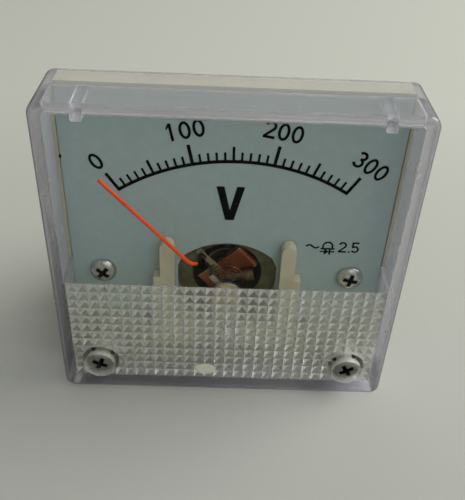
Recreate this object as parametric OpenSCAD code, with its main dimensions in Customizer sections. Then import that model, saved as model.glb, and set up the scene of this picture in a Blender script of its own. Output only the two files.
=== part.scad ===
// Square moving-coil panel meter with a clear cover, a 0 to 300 V dial and two rear terminals.
// X runs right, Z runs up, and the face looks towards -Y.
// The origin is behind the centre of the face, in the plane where the flange meets the panel.

/* [Face] */
// Width of the clear cover
face_w = 65; // [63:0.5:72]
// Height of the clear cover
face_h = 63; // [61:0.5:70]
// Depth of the cover, from its face to the panel
cover_depth = 14.3; // [13.6:0.1:18]
// Thickness of the cover's front wall
front_wall = 2; // [1.4:0.1:2.4]
// Thickness of the cover's side walls
side_wall = 1.8; // [1.5:0.1:2.2]
// Thickness of the cover's top and bottom walls
top_wall = 2.2; // [1.8:0.1:2.6]
// Thickness of the cover's lip round the rear case
mouth_wall = 1.2; // [1:0.1:1.4]
// Radius of the cover's four upright corners
corner_r = 2; // [1.2:0.1:3]
// Radius round the edge of the face
edge_r = 1; // [0.4:0.1:1.1]
// Height of the prism field below the window
prism_field_h = 24; // [20:0.5:26]
// Number of prisms across the field
prism_cols = 30; // [20:1:34]
// Number of prisms up the field
prism_rows = 12; // [8:1:14]
// Height of one prism
prism_h = 0.8; // [0.4:0.1:1]
// Width of the two ribs under the cover's top wall
rib_w = 1.9; // [1.2:0.1:3]
// How far these ribs hang below the wall
rib_drop = 1.3; // [0.8:0.1:2]
// Step of the side walls beside the prism field
side_step = 0.35; // [0.2:0.05:0.5]

/* [Screws] */
// Distance of the face's screws from its side edges
screw_inset_x = 7.4; // [6.8:0.1:8]
// Height of the cover screws above the bottom edge
screw_inset_z = 6.3; // [6.2:0.1:7.4]
// Diameter of the cover screws
cover_screw_d = 3; // [2.5:0.1:3.2]
// Diameter of the cover screws' heads
cover_head_d = 5.5; // [5:0.1:5.8]
// Diameter of the dial screws
dial_screw_d = 2.5; // [2:0.1:3]
// Diameter of the dial screws' heads
dial_head_d = 5.3; // [4.6:0.1:5.8]
// Depth of the dial screws below the face's centre
dial_screw_drop = 8.2; // [7.4:0.1:9.4]

/* [Rear case] */
// Height of the case's rim above the panel
rim_h = 3.9; // [3.6:0.1:4.4]
// Thickness of the case's flange
flange_t = 1.8; // [1.4:0.1:2]
// Outer diameter of the barrel
barrel_d = 49; // [47.5:0.5:50]
// Length of the barrel behind the panel
barrel_len = 28; // [26:0.5:34]
// Depth of the barrel's centre below the face's centre
barrel_drop = 5; // [3:0.5:6]
// Thickness of the barrel's wall
barrel_wall = 1.8; // [1.2:0.1:1.9]
// Thickness of the barrel's end
barrel_end = 2; // [1.6:0.1:3]

/* [Dial] */
// Thickness of the dial plate
dial_t = 0.6; // [0.4:0.1:0.8]
// Bottom edge of the dial plate, below the face's centre
dial_bottom = 16.5; // [15.5:0.1:17]
// Top of the dial's window, below the face's centre
window_top = 1; // [0.9:0.1:2]
// Radius of the window's top edge
window_r = 13.1; // [12:0.1:16]
// Half width of the window
window_half = 9.8; // [9:0.1:10]
// Thickness of the printed ink
ink_t = 0.06; // [0.05:0.01:0.1]
// Radius of the scale's arc
scale_r = 38.4; // [37.5:0.1:39.5]
// Distance of the scale's ends from the face's side edges
scale_inset = 11.6; // [10.5:0.1:13.5]
// Centre of the scale's arc, below the face's centre
scale_drop = 21.3; // [20.8:0.1:22]
// Height of the scale's figures
figure_h = 3.4; // [2.8:0.1:3.8]
// Height of the unit letter
letter_h = 7.3; // [6:0.1:8]

/* [Movement] */
// Depth of the pivot axis below the face's centre
pivot_drop = 10; // [9.8:0.1:10.4]
// Length of the pointer, from its pivot to its tip
pointer_len = 34.4; // [30:0.1:35]
// Thickness of the pointer
pointer_d = 0.75; // [0.5:0.05:0.8]
// Gap between the dial and the pointer's axis
pointer_gap = 5.3; // [5:0.05:5.6]
// Inner radius of the iron ring
ring_in_r = 7; // [6.8:0.1:7.4]
// Outer radius of the iron ring
ring_out_r = 10.2; // [9.8:0.1:10.3]
// Length of the iron ring
ring_len = 12; // [11:0.1:13]
// Radius of the core magnet
core_r = 4.15; // [3.6:0.05:4.2]
// Length of the core magnet
core_len = 9; // [7:0.1:9.2]
// Half length of the coil across its pivot
coil_half = 6; // [5.8:0.05:6.1]
// Width of the coil
coil_w = 5.6; // [4.4:0.1:5.8]
// Thickness of the copper winding
winding_t = 1.05; // [0.8:0.05:1.1]
// Width of the front bridge
bridge_w = 6; // [5:0.1:6.4]
// Thickness of both bridges
bridge_t = 1; // [0.8:0.1:1.2]
// Outer radius of the hairsprings
spring_r = 4.4; // [3.6:0.1:4.5]
// Turns of each hairspring
spring_turns = 4.5; // [3:0.5:5]

/* [Terminals] */
// Distance between the two terminals
terminal_pitch = 24; // [20:0.5:28]
// Diameter of the terminal studs
terminal_d = 4; // [3:0.5:4]
// Length of each terminal stud behind the barrel
terminal_out = 13; // [11:0.5:18]
// Distance of the mounting studs from the face's side edges
stud_inset = 6.5; // [6:0.1:7]
// Distance between the mounting studs, up
stud_pitch_z = 32; // [30:0.5:33]
// Diameter of the mounting studs
stud_d = 3; // [2.5:0.5:3]
// Length of the mounting studs behind the panel
stud_out = 12; // [8:0.5:20]

/* [Hidden] */
$fn = 64;

// Clearances
rim_gap = 0.1;
lip_t = 0.6;
lip_h = 0.75;
dial_gap = 0.1;
thread_gap = 0.02;
pivot_gap = 0.05;
root = 0.3;

// Places along Y, from the face back to the terminals
face_y = -cover_depth;
inside_y = face_y + front_wall;
rim_y = -rim_h;
shoulder_y = rim_y - 0.05;
dial_back_y = rim_y + lip_h;
dial_y = dial_back_y - dial_t;
floor_y = -flange_t;
pointer_y = dial_y - pointer_gap;
post_y = dial_y - 2.65;
bridge_back_y = dial_y - 3.95;
bridge_y = bridge_back_y - bridge_t;
spring_y = dial_y - 0.85;
coil_y = dial_back_y + 2.35;
ring_y = coil_y - 0.5;

// The cover's cavity and the case's rim
cavity_w = face_w - 2 * side_wall;
cavity_h = face_h - 2 * top_wall;
mouth_w = face_w - 2 * mouth_wall;
mouth_h = face_h - 2 * mouth_wall;
rim_w = mouth_w - 2 * rim_gap;
rim_height = mouth_h - 2 * rim_gap;
pocket_w = rim_w - 2 * lip_t;
pocket_h = rim_height - 2 * lip_t;
ledge_w = 1.7;

// Screws through the face
screw_x = face_w / 2 - screw_inset_x;
cover_screw_z = -face_h / 2 + screw_inset_z;
dial_screw_x = screw_x - 0.5;
cover_boss_d = cover_head_d + 3.5;
cover_boss_y = dial_y - 1.85;
case_boss_d = cover_screw_d + 4;
head_recess = 2;
cover_screw_end_y = floor_y - 0.8;
dial_head_h = 1.6;
dial_screw_end_y = -0.4;

// Prism field
field_w = cavity_w - 2 * side_step - 0.2;
field_bottom = -cavity_h / 2 + 0.1;
field_top = field_bottom + prism_field_h;
prism_w = field_w / prism_cols;
prism_z = prism_field_h / prism_rows;
valley_t = 0.15;

// Scale
divisions = 30;
scale_max = 300;
arc_t = 0.64;
figure_w = 0.62 * figure_h;
figure_line = 0.15 * figure_h;
figure_step = 0.72 * figure_h;
figure_ring_r = scale_r + 6.8;
letter_z = 8.2;
symbol_h = 2.5;
symbol_line = 0.34;
symbol_x = face_w / 2 - 16.1;
symbol_z = -2.2;
major_tick = 4.1;
medium_tick = 3.1;
minor_tick = 2;
major_line = 0.6;
medium_line = 0.48;
minor_line = 0.42;
scale_half = face_w / 2 - scale_inset;
scale_sweep = 2 * asin(scale_half / scale_r);
// The scale is printed a little to the right and a little askew
scale_x = 1.05;
scale_turn = 1.1;
zero_a = scale_sweep / 2 + scale_turn;
zero_mark = [scale_x - scale_r * sin(zero_a), scale_r * cos(zero_a) - scale_drop];

// Movement
pivot_z = -pivot_drop;
// The pointer rests a little above the zero mark, and the zero lever can trim it; whole degrees
zero_error = 3;
pointer_rest = round(atan(-zero_mark[0] / (zero_mark[1] - pivot_z))) - zero_error;
pointer_a = 90 + pointer_rest;
coil_a = pointer_a - 90;
tail_turn = 120;
holder_r = ring_out_r + 2;
holder_len = ring_len + ring_y + 1.3;
post_x = window_half + 1.95;
post_w = 2.8;
post_top = 0.3;
shoulder_z = -7.8;
shoulder_w = 1.35;
bar_top = -dial_bottom - 1.1;
bar_bottom = bar_top - 5.6;
foot_z = bar_top - 2.9;
ear_h = 8;
ear_x = dial_screw_x + 3.9;
former_t = 0.2;
flange_w = 0.2;
coil_len = core_len + 2 * (winding_t + former_t + 0.55);
sleeve_t = 0.3;
rib_t = 0.8;
core_y = coil_y + winding_t + former_t + 0.55;
coil_end_y = coil_y + coil_len;
jewel_d = 3;
jewel_front_y = bridge_y - 1.5;
jewel_back_y = bridge_back_y + 0.8;
jewel_depth = 0.9;
nut_t = 1.2;
tip_d = 0.6;
staff_d = 1.2;
hub_t = 0.6;
cross_y = dial_back_y + 0.25;
cross_t = 0.4;
arm_w = 1.1;
pointer_arm = window_half - 1;
pointer_seat = 1.7;
pointer_foot_r = window_half - 1.5;
pointer_knee = 2;
pointer_knee_r = window_half - 0.8;
pointer_lap = 0.2;
tail_arm = 5.4;
weight_d = 2.8;
weight_len = 2.6;
weight_r = 4.2;
lever_y = bridge_back_y + 0.05;
lever_t = 0.4;
lever_a = 128;
rear_bridge_y = coil_end_y + 3.6;
rear_spring_y = coil_end_y + 1.3;
spring_t = 0.12;
spring_h = 0.4;
collet_r = 0.95;

// Rear of the barrel
barrel_r = barrel_d / 2;
bore_r = barrel_r - barrel_wall;
end_y = barrel_len - barrel_end;
terminal_x = terminal_pitch / 2;
board_t = 1.6;
spacer_h = 3.9;
board_y = end_y - spacer_h - board_t;
board_r = bore_r - 3.5;
board_nut_t = 2.4;
resistor_d = 5;
resistor_len = 15;
resistor_z = 12;
diode_d = 2.7;
diode_len = 5.2;
diode_x = 6;
diode_z = [-13.4, -9.4];
lead_d = 0.6;
nut_w = 1.75 * terminal_d;
washer_t = 0.8;
lock_t = 0.9;
terminal_nut_t = 3.2;
terminal_free_y = barrel_len + washer_t + lock_t + terminal_nut_t + 0.1;
// Depth from a thread's crest to the middle of its flanks, where a nut holds it
thread_t = 0.11 * terminal_d / 2;
held_d = terminal_d - 2 * thread_t;
stud_x = face_w / 2 - stud_inset;
stud_head_d = stud_d + 2.6;
stud_neck_d = stud_d + 0.8;
stud_head_y = floor_y - 0.8;
stud_seat_y = floor_y + 0.6;

// A flat shape of X and Z, as a slab from y0 to y1
module slab(y0, y1) {
    translate([0, y1, 0]) rotate([90, 0, 0]) linear_extrude(y1 - y0) children();
}

// A round bar along Y
module rod(d, y0, y1, x = 0, z = 0) {
    translate([x, y1, z]) rotate([90, 0, 0]) cylinder(d = d, h = y1 - y0);
}

// A hexagon bar along Y, w across its flats
module hex_bar(w, y0, y1, x = 0, z = 0) {
    translate([x, y1, z]) rotate([90, 0, 0]) cylinder(d = w / cos(30), h = y1 - y0, $fn = 6);
}

module rounded(w, h, r) {
    square([w - 2 * r, h], center = true);
    square([w, h - 2 * r], center = true);
    for (x = [-1, 1], z = [-1, 1])
        translate([x * (w / 2 - r), z * (h / 2 - r)]) circle(r);
}

// Turns +X to the angle a above the horizontal, as seen from the face
module turned(a) {
    rotate([0, -a, 0]) children();
}

module at_pivot() {
    translate([0, 0, pivot_z]) children();
}

module at_barrel() {
    translate([0, 0, -barrel_drop]) children();
}

module both_sides() {
    children();
    mirror([1, 0, 0]) children();
}

// Cross recess in a head whose top is at y
module cross_recess(y, d) {
    for (a = [40, 130])
        turned(a) translate([-0.31 * d, y - 0.1, -0.09 * d]) cube([0.62 * d, 0.22 * d + 0.1, 0.18 * d]);
}

// Domed screw head on a shank, with its seat at seat_y
module domed_screw(head_d, head_h, shank_d, seat_y, end_y, slotted = true) {
    dome_r = (head_d * head_d / 4 + head_h * head_h) / (2 * head_h);
    difference() {
        intersection() {
            rod(head_d, seat_y - head_h, seat_y);
            translate([0, seat_y - head_h + dome_r, 0]) sphere(dome_r);
        }
        if (slotted) cross_recess(seat_y - head_h, head_d);
    }
    rod(shank_d, seat_y - 0.1, end_y);
}

// ---- Clear cover ----

module cover_block() {
    hull() {
        slab(face_y, face_y + 0.01)
            rounded(face_w - 2 * edge_r, face_h - 2 * edge_r, corner_r, $fn = 32);
        slab(face_y + 0.3 * edge_r, 0)
            rounded(face_w - 0.58 * edge_r, face_h - 0.58 * edge_r, corner_r, $fn = 32);
        slab(face_y + edge_r, 0) rounded(face_w, face_h, corner_r, $fn = 32);
    }
}

// A cell of the field stands only where it is clear of the screw bosses
function has_cell(i, j) =
    i >= 0 && i < prism_cols && j >= 0 && j < prism_rows &&
    norm([
        abs((i + 0.5) * prism_w - field_w / 2) - screw_x,
        field_bottom + (j + 0.5) * prism_z - cover_screw_z
    ]) > cover_boss_d / 2 + 0.75 * prism_w;

// Corner i, j of the field's grid at the depth y
function field_point(i, j, y) = [i * prism_w - field_w / 2, y, field_bottom + j * prism_z];

// Number of the grid's corner i, j in the polyhedron's list of points
function corner(i, j) = i * (prism_rows + 1) + j;

module prism_field() {
    corners = (prism_cols + 1) * (prism_rows + 1);
    columns = [0:prism_cols];
    rows = [0:prism_rows];
    points = concat(
        [for (i = columns, j = rows) field_point(i, j, inside_y + valley_t)],
        [for (i = columns, j = rows) field_point(i, j, inside_y)],
        [for (i = columns, j = rows) field_point(i + 0.5, j + 0.5, inside_y + valley_t + prism_h)]
    );
    faces = [for (i = columns, j = rows) if (has_cell(i, j))
        let (ring = [corner(i, j), corner(i + 1, j), corner(i + 1, j + 1), corner(i, j + 1)])
        each concat(
            [for (k = [0:3]) [ring[(k + 1) % 4], ring[k], corner(i, j) + 2 * corners]],
            [[for (k = [0:3]) ring[k] + corners]],
            [for (k = [0:3])
                let (next = (k + 1) % 4, beyond = [[0, -1], [1, 0], [0, 1], [-1, 0]][k])
                if (!has_cell(i + beyond[0], j + beyond[1]))
                    [ring[k], ring[next], ring[next] + corners, ring[k] + corners]]
        )];
    polyhedron(points, faces);
}

module cover_prisms() color([0.86, 0.9, 0.93, 0.35]) prism_field();

// Step of the side wall beside the prism field, with a sloping upper end
module side_wall_step() {
    low = -cavity_h / 2 - root;
    translate([cavity_w / 2 - side_step, 0, 0]) rotate([90, 0, 90]) linear_extrude(side_step + root)
        polygon([
            [inside_y - root, low], [inside_y - root, field_top], [inside_y, field_top],
            [dial_y - 2.3, field_top + 2.6], [dial_y - 0.4, field_top + 2.6], [dial_y - 0.4, low]
        ]);
}

module front_cover() color([0.86, 0.9, 0.93, 0.35]) difference() {
    union() {
        difference() {
            cover_block();
            slab(inside_y, 1) square([cavity_w, cavity_h], center = true);
            slab(shoulder_y, 1) rounded(mouth_w, mouth_h, corner_r - 0.8);
        }
        both_sides() {
            side_wall_step();
            rod(cover_boss_d, inside_y - root, cover_boss_y, screw_x, cover_screw_z);
            translate([screw_x - rib_w / 2, inside_y - root, cavity_h / 2 - rib_drop])
                cube([rib_w, dial_y - 0.3 - inside_y + root, rib_drop + root]);
        }
    }
    both_sides() {
        rod(cover_screw_d + 0.3, face_y - 1, 1, screw_x, cover_screw_z);
        rod(cover_head_d + 0.6, face_y - 1, face_y + head_recess, screw_x, cover_screw_z);
    }
}

module cover_screw(side) color("silver") translate([side * screw_x, 0, cover_screw_z])
    domed_screw(cover_head_d, 1.7, cover_screw_d, face_y + head_recess, cover_screw_end_y);

// ---- Rear case ----

module rear_case() color([0.91, 0.88, 0.76]) difference() {
    union() {
        difference() {
            slab(rim_y, 0) rounded(rim_w, rim_height, corner_r - 0.9);
            slab(rim_y - 1, dial_back_y) rounded(pocket_w, pocket_h, 0.8);
            slab(rim_y - 1, floor_y) rounded(pocket_w - 2 * ledge_w, pocket_h - 2 * ledge_w, 1);
        }
        at_barrel() barrel();
        both_sides() rod(case_boss_d, cover_boss_y, floor_y + root, screw_x, cover_screw_z);
    }
    at_barrel() {
        rod(2 * bore_r, -20, end_y);
        both_sides() rod(terminal_d + 0.2, end_y - 1, barrel_len + 1, terminal_x);
    }
    both_sides() {
        rod(cover_screw_d + 2 * thread_gap, cover_boss_y - 1, floor_y + 1, screw_x, cover_screw_z);
        rod(dial_screw_d + 2 * thread_gap, floor_y - 1, dial_screw_end_y + 0.1, dial_screw_x, -dial_screw_drop);
        for (z = [-1, 1]) {
            rod(stud_neck_d + 2 * thread_gap, floor_y - 1, 1, stud_x, z * stud_pitch_z / 2);
            rod(stud_head_d + 0.2, floor_y - 1, stud_seat_y, stud_x, z * stud_pitch_z / 2);
        }
    }
}

// Outside of the barrel, with a bevelled rear edge
module barrel() {
    bevel = 1;
    rotate([-90, 0, 0]) rotate_extrude()
        polygon([
            [0, floor_y + root], [barrel_r, floor_y + root], [barrel_r, barrel_len - bevel],
            [barrel_r - bevel, barrel_len], [0, barrel_len]
        ]);
}

// Each stud has a head inside the case, a thick neck pressed into the flange, and its thread behind it
module mounting_studs() color("silver")
    both_sides() for (z = [-1, 1]) {
        rod(stud_head_d, stud_head_y, stud_seat_y, stud_x, z * stud_pitch_z / 2);
        rod(stud_neck_d, stud_head_y, 0, stud_x, z * stud_pitch_z / 2);
        rod(stud_d, -0.1, stud_out, stud_x, z * stud_pitch_z / 2);
    }

// ---- Dial ----

module window() {
    intersection() {
        translate([0, -window_top - window_r]) circle(window_r);
        square([2 * window_half, 100], center = true);
    }
    translate([-window_half, -dial_bottom - 1])
        square([2 * window_half, dial_bottom + 1 - window_top - window_r * 0.55]);
}

module dial_plate() color([0.7, 0.77, 0.79]) difference() {
    slab(dial_y, dial_back_y) difference() {
        rounded(pocket_w - 2 * dial_gap, pocket_h - 2 * dial_gap, 1);
        translate([-face_w, -face_h - dial_bottom]) square([2 * face_w, face_h]);
        window();
    }
    both_sides() rod(dial_screw_d + 0.3, dial_y - 1, dial_back_y + 1, dial_screw_x, -dial_screw_drop);
}

module dial_screw(side) color("silver") translate([side * dial_screw_x, 0, -dial_screw_drop])
    domed_screw(dial_head_d, dial_head_h, dial_screw_d, dial_y, dial_screw_end_y);

module ink() {
    color("black") slab(dial_y - ink_t, dial_y) children();
}

function scale_angle(value) = (value / scale_max - 0.5) * scale_sweep;

module at_scale() {
    translate([scale_x, -scale_drop]) rotate(scale_turn) children();
}

// Children placed at a value on the scale, at the radius r from its centre
module at_value(value, r) {
    at_scale() rotate(-scale_angle(value)) translate([0, r]) children();
}

function arc(c, rx, ry, a0, a1, n) =
    [for (i = [0:n]) let (a = a0 + (a1 - a0) * i / n) [c[0] + rx * cos(a), c[1] + ry * sin(a)]];

function heading(p, i) =
    let (d = p[min(i + 1, len(p) - 1)] - p[max(i - 1, 0)]) d / norm(d);

function beside(p, w) =
    [for (i = [0:len(p) - 1]) let (d = heading(p, i)) p[i] + w * [-d[1], d[0]]];

function backwards(p) = [for (i = [len(p) - 1:-1:0]) p[i]];

// A line of the width w along the points p
module stroke(p, w) {
    polygon(concat(beside(p, w / 2), backwards(beside(p, -w / 2))));
}

module dial_scale() ink() {
    minor = scale_max / divisions;
    inner = scale_r - arc_t / 2;
    outer = scale_r + arc_t / 2;
    half = scale_sweep / 2 + 0.35;
    at_scale()
        polygon(concat(
            arc([0, 0], inner, inner, 90 - half, 90 + half, 60),
            arc([0, 0], outer, outer, 90 + half, 90 - half, 60)
        ));
    for (i = [0:divisions]) {
        major = i % 10 == 0;
        medium = i % 5 == 0;
        length = major ? major_tick : medium ? medium_tick : minor_tick;
        width = major ? major_line : medium ? medium_line : minor_line;
        at_value(i * minor, scale_r - arc_t / 4) translate([-width / 2, 0]) square([width, length]);
    }
}

// Figures, each w wide and h high with lines of the width t, standing on the origin
module zero(w, h, t) {
    difference() {
        polygon(arc([0, h / 2], w / 2, h / 2, 0, 345, 23));
        polygon(arc([0, h / 2], w / 2 - t, h / 2 - t, 0, 345, 23));
    }
}

module one(w, h, t) {
    translate([-t / 2, 0]) square([t, h]);
    polygon([[0, h], [-t / 2, h], [-0.36 * w, 0.76 * h], [-0.36 * w, 0.64 * h], [-t / 2, 0.8 * h], [0, 0.8 * h]]);
}

module two(w, h, t) {
    mid = h - w / 2;
    polygon(concat(
        arc([0, mid], w / 2, w / 2, 165, -35, 10),
        [[1.3 * t - w / 2, t], [w / 2, t], [w / 2, 0], [-w / 2, 0], [-w / 2, 0.9 * t]],
        arc([0, mid], w / 2 - t, w / 2 - t, -35, 165, 10)
    ));
}

module three(w, h, t) {
    r = (w - t) / 2;
    waist = 0.53 * h;
    upper = (h - t / 2 - waist) / 2;
    lower = (waist - t / 2) / 2;
    stroke(arc([0, waist + upper], 0.88 * r, upper, 160, -95, 12), t);
    stroke(arc([0, waist - lower], r, lower, 95, -160, 12), t);
}

module five(w, h, t) {
    side = -0.4 * w;
    mid = 0.32 * h;
    polygon(concat(
        arc([0, mid], w / 2, 0.32 * h, -155, acos(2 * (side + t) / w), 12),
        [[side + t, h - t], [0.44 * w, h - t], [0.44 * w, h], [side, h], [side, 0.46 * h]],
        arc([0, mid], w / 2 - t, 0.32 * h - t, 125, -155, 12)
    ));
}

module figure(digit, w, h, t) {
    if (digit == 0) zero(w, h, t);
    if (digit == 1) one(w, h, t);
    if (digit == 2) two(w, h, t);
    if (digit == 3) three(w, h, t);
    if (digit == 5) five(w, h, t);
}

module number(digits, w, h, t, step) {
    for (i = [0:len(digits) - 1])
        translate([(i - (len(digits) - 1) / 2) * step, 0]) figure(digits[i], w, h, t);
}

module dial_figures() ink()
    for (mark = [[0, [0]], [100, [1, 0, 0]], [200, [2, 0, 0]], [300, [3, 0, 0]]])
        at_value(mark[0], figure_ring_r) translate([0, -figure_h / 2])
            number(mark[1], figure_w, figure_h, figure_line, figure_step);

module dial_letter() ink() {
    half = 0.36 * letter_h;
    line = 0.2 * letter_h;
    foot = 0.11 * letter_h;
    translate([0, letter_z - letter_h / 2])
        polygon([
            [-half, letter_h], [-foot, 0], [foot, 0], [half, letter_h], [half - line, letter_h],
            [0, 0.3 * letter_h], [line - half, letter_h]
        ]);
}

// The sign for alternating current, the sign for a moving coil with a rectifier, and the class 2.5
module dial_symbols() ink() translate([symbol_x, symbol_z]) {
    line = symbol_line;
    wave = [for (i = [0:14]) [i * 0.18 - 1.26, symbol_h / 2 + 0.36 * sin(i * 360 / 14)]];
    stroke(wave, line);
    translate([2.95, 0]) {
        bow_r = 0.92;
        bow = arc([0, symbol_h - bow_r - line / 2], bow_r, bow_r, 180, 0, 10);
        stroke(concat([[-bow_r, 0.72]], bow, [[bow_r, 0.72]]), line);
        translate([-1.35, 0.6]) square([2.7, line]);
        translate([-1.45, -0.06]) square([2.9, 0.8 * line]);
        polygon([[-0.6, -0.62], [0.35, 0.08], [-0.6, 0.78]]);
        translate([0.3, -0.62]) square([line, 1.4]);
    }
    translate([5.85, 0]) two(1.6, symbol_h, line);
    translate([7.02, 0]) square([line, line]);
    translate([8.3, 0]) five(1.6, symbol_h, line);
}

// ---- Fixed parts of the movement ----

module post() {
    slab(post_y, dial_y - 0.2) {
        translate([post_x, post_top - post_w / 2]) circle(post_w / 2);
        translate([post_x - post_w / 2, bar_top - 1]) square([post_w, post_top - post_w / 2 - bar_top + 1]);
        translate([post_x - post_w / 2, bar_top - 1])
            square([post_w + shoulder_w, shoulder_z - bar_top + 1]);
    }
}

module movement_frame() color([0.9, 0.86, 0.72]) difference() {
    union() {
        at_pivot() rod(2 * holder_r, dial_back_y, dial_back_y + holder_len);
        slab(dial_back_y, floor_y)
            translate([-ear_x, -dial_screw_drop - ear_h / 2]) square([2 * ear_x, ear_h]);
        slab(post_y, floor_y) translate([-post_x - post_w / 2 - shoulder_w, bar_bottom])
            square([2 * (post_x + post_w / 2 + shoulder_w), bar_top - bar_bottom]);
        slab(bridge_back_y, post_y + 1) translate([-bridge_w / 2 - 0.2, bar_bottom])
            square([bridge_w + 0.4, bar_top - 0.2 - bar_bottom]);
        both_sides() post();
        for (z = [-1, 1]) at_pivot() slab(dial_back_y + holder_len - 1, rear_bridge_y)
            translate([-2.2, z * (ring_out_r + 1.1) - 0.9]) square([4.4, 1.8]);
    }
    at_pivot() rod(2 * ring_out_r + 0.1, ring_y, 40);
    at_pivot() rod(2 * ring_out_r - 0.8, dial_back_y - 1, ring_y + 1);
    at_pivot() intersection() {
        rod(2 * ring_out_r + 0.1, dial_back_y - 1, ring_y + 1);
        slab(dial_back_y - 1, ring_y + 1) square([3 * ring_out_r, 1.5 * ring_out_r], center = true);
    }
    both_sides() rod(dial_screw_d + 0.3, dial_back_y - 1, floor_y + 1, dial_screw_x, -dial_screw_drop);
    rod(2 + 2 * thread_gap, bridge_back_y - 1, bridge_back_y + 3.6, 0, foot_z);
    for (z = [-1, 1]) at_pivot()
        rod(1 + 2 * thread_gap, rear_bridge_y - 2.1, rear_bridge_y + 1, 0, z * (ring_out_r + 1.1));
}

module yoke_ring() color([0.36, 0.37, 0.26]) at_pivot() difference() {
    rod(2 * ring_out_r, ring_y, ring_y + ring_len);
    rod(2 * ring_in_r, ring_y - 1, ring_y + ring_len + 1);
}

// Sleeve round the magnet, with a rib above and below it in the sectors that the coil leaves free
module core_cage() color([0.55, 0.56, 0.58]) at_pivot() difference() {
    union() {
        rod(2 * (core_r + sleeve_t), core_y, core_y + core_len);
        intersection() {
            slab(core_y + 1, core_y + core_len - 1) square([rib_t, 4 * ring_in_r], center = true);
            rod(2 * ring_in_r - 0.04, core_y, core_y + core_len);
        }
    }
    rod(2 * core_r + 0.04, core_y - 1, core_y + core_len + 1);
}

module core_magnet() color([0.2, 0.2, 0.22])
    at_pivot() rod(2 * core_r, core_y, core_y + core_len);

// A strip up from its foot, with a round end about the pivot
module front_bridge() color([0.82, 0.83, 0.84]) difference() {
    slab(bridge_y, bridge_back_y) {
        translate([0, pivot_z]) circle(bridge_w / 2);
        translate([-bridge_w / 2, bar_bottom]) square([bridge_w, pivot_z - bar_bottom]);
    }
    at_pivot() rod(jewel_d + 2 * thread_gap, bridge_y - 1, bridge_back_y + 1);
    rod(2.2, bridge_y - 1, bridge_back_y + 1, 0, foot_z);
}

module front_bridge_screw() color("silver") translate([0, 0, foot_z])
    domed_screw(3.8, 1.2, 2, bridge_y, bridge_back_y + 3.4);

// Screw with a blind bore for the pivot at its inner end
module jewel_screw(y0, y1, inner) {
    difference() {
        rod(jewel_d, y0, y1);
        if (inner == y1) {
            rod(tip_d + 2 * pivot_gap, y1 - jewel_depth, y1 + 1);
            translate([-2, y0 - 1, -0.2]) cube([4, 1.5, 0.4]);
        }
        if (inner == y0) {
            rod(tip_d + 2 * pivot_gap, y0 - 1, y0 + jewel_depth);
            translate([-2, y1 - 0.5, -0.2]) cube([4, 1.5, 0.4]);
        }
    }
}

module front_jewel_screw() color([0.85, 0.8, 0.6])
    at_pivot() jewel_screw(jewel_front_y, jewel_back_y, jewel_back_y);

module front_jewel_nut() color([0.85, 0.8, 0.6]) at_pivot() difference() {
    hex_bar(4.6, bridge_y - nut_t, bridge_y);
    rod(jewel_d + 2 * thread_gap, bridge_y - nut_t - 1, bridge_y + 1);
}

module rear_bridge() color([0.82, 0.83, 0.84]) at_pivot() difference() {
    union() {
        slab(rear_bridge_y, rear_bridge_y + bridge_t)
            rounded(4.4, 2 * (ring_out_r + 2), 1);
        translate([-0.6, rear_spring_y, spring_r + spring_t / 2 + 0.01])
            cube([1.2, rear_bridge_y - rear_spring_y + 0.1, 0.6]);
    }
    rod(jewel_d + 2 * thread_gap, rear_bridge_y - 1, rear_bridge_y + bridge_t + 1);
    for (z = [-1, 1])
        rod(1.1, rear_bridge_y - 1, rear_bridge_y + bridge_t + 1, 0, z * (ring_out_r + 1.1));
}

module rear_bridge_screws() color("silver")
    for (z = [-1, 1]) translate([0, 2 * rear_bridge_y + bridge_t, pivot_z + z * (ring_out_r + 1.1)])
        mirror([0, 1, 0]) domed_screw(2, 0.8, 1, rear_bridge_y, rear_bridge_y + bridge_t + 2, false);

module rear_jewel_screw() color([0.85, 0.8, 0.6]) at_pivot()
    jewel_screw(rear_bridge_y - 0.8, rear_bridge_y + bridge_t + 1.5, rear_bridge_y - 0.8);

module rear_jewel_nut() color([0.85, 0.8, 0.6]) at_pivot() difference() {
    hex_bar(4, rear_bridge_y + bridge_t, rear_bridge_y + bridge_t + nut_t);
    rod(jewel_d + 2 * thread_gap, rear_bridge_y, rear_bridge_y + bridge_t + nut_t + 1);
}

// ---- Zero lever and hairsprings ----

module zero_lever() color([0.8, 0.81, 0.82]) at_pivot() difference() {
    union() {
        rod(5, lever_y, lever_y + lever_t);
        turned(lever_a) translate([0, lever_y, -0.55]) cube([spring_r + 0.75, lever_t, 1.1]);
        turned(lever_a) translate([spring_r + 0.3, lever_y, -0.55])
            cube([0.45, spring_y + spring_h - lever_y, 1.1]);
        turned(270) translate([0, lever_y, -0.8]) cube([7.2, lever_t, 1.6]);
    }
    rod(jewel_d + 2 * pivot_gap, lever_y - 1, lever_y + lever_t + 1);
    turned(270) translate([5.4, lever_y - 1, -0.35]) cube([3, 2 + lever_t, 0.7]);
}

// Flat spiral from the collet out to its stud at the angle end_a
module hairspring(y, end_a) {
    inner = collet_r + spring_t / 2 + 0.01;
    steps = 24 * spring_turns;
    slab(y, y + spring_h) stroke([for (i = [0:steps])
        let (r = inner + (spring_r - inner) * i / steps, a = end_a + (i - steps) * 15)
        r * [cos(a), sin(a)]], spring_t);
}

module front_hairspring() color([0.72, 0.45, 0.25]) at_pivot() hairspring(spring_y, lever_a);

module rear_hairspring() color([0.72, 0.45, 0.25]) at_pivot() hairspring(rear_spring_y, 90);

// ---- Moving element ----

// A rounded loop of the winding's shape, w wide, grown by the amount g
module coil_loop(w, g) {
    middle_y = coil_y + coil_len / 2;
    turned(coil_a) translate([0, middle_y, -w / 2]) linear_extrude(w)
        rounded(2 * (coil_half + g), coil_len + 2 * g, max(0.25, 0.9 + g));
}

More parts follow.
